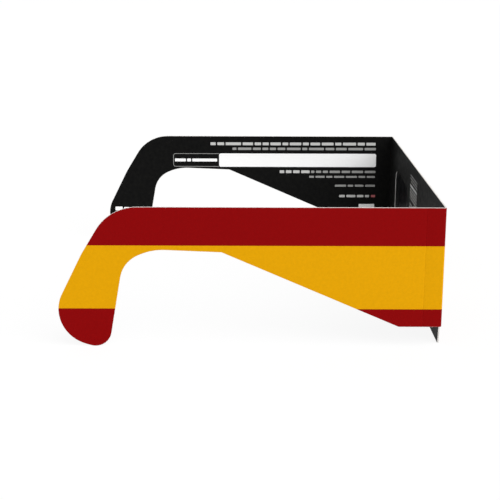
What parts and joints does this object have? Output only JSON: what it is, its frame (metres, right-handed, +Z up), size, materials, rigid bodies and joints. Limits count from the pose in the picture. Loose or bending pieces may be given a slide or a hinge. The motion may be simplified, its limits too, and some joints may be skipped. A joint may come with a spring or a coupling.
{
  "type": "eclipse glasses",
  "caption": "Folding paper-board eclipse glasses with striped cover, dark lining, solar filter windows, nose notch and hooked temples on creased hinges.",
  "frame": {"origin": "middle of the footprint of the open glasses, level with the lower edge of the front, on which they stand", "axes": "+Z up; the wearer looks along -Y, so the front is at -Y and the temples run back along +Y; +X is the wearer's left"},
  "size_m": [0.149, 0.1308, 0.049],
  "materials": {
    "printed_board": "satin",
    "dark_board": "satin",
    "filter_film": "gloss",
    "glue": "satin"
  },
  "bodies": {
    "front": {"front_cover": "printed_board", "front_liner": "dark_board", "front_glue": "glue", "right_filter": "filter_film", "left_filter": "filter_film", "right_crease_cover": "printed_board", "right_crease_liner": "dark_board", "left_crease_cover": "printed_board", "left_crease_liner": "dark_board"},
    "right_temple": {"right_temple_cover": "printed_board", "right_temple_glue": "glue", "right_temple_liner": "dark_board"},
    "left_temple": {"left_temple_cover": "printed_board", "left_temple_glue": "glue", "left_temple_liner": "dark_board"}
  },
  "joints": [
    {"name": "right_temple_fold", "type": "hinge", "parent": "front", "child": "right_temple", "pos_m": [-0.07367, -0.06457, 0.02815], "axis": [0, 0, 1], "range_deg": [-90, 90], "deforming": ["right_crease_cover", "right_crease_liner"]},
    {"name": "left_temple_fold", "type": "hinge", "parent": "front", "child": "left_temple", "pos_m": [0.07367, -0.06457, 0.02815], "axis": [0, 0, -1], "range_deg": [-86, 90], "deforming": ["left_crease_cover", "left_crease_liner"]}
  ]
}
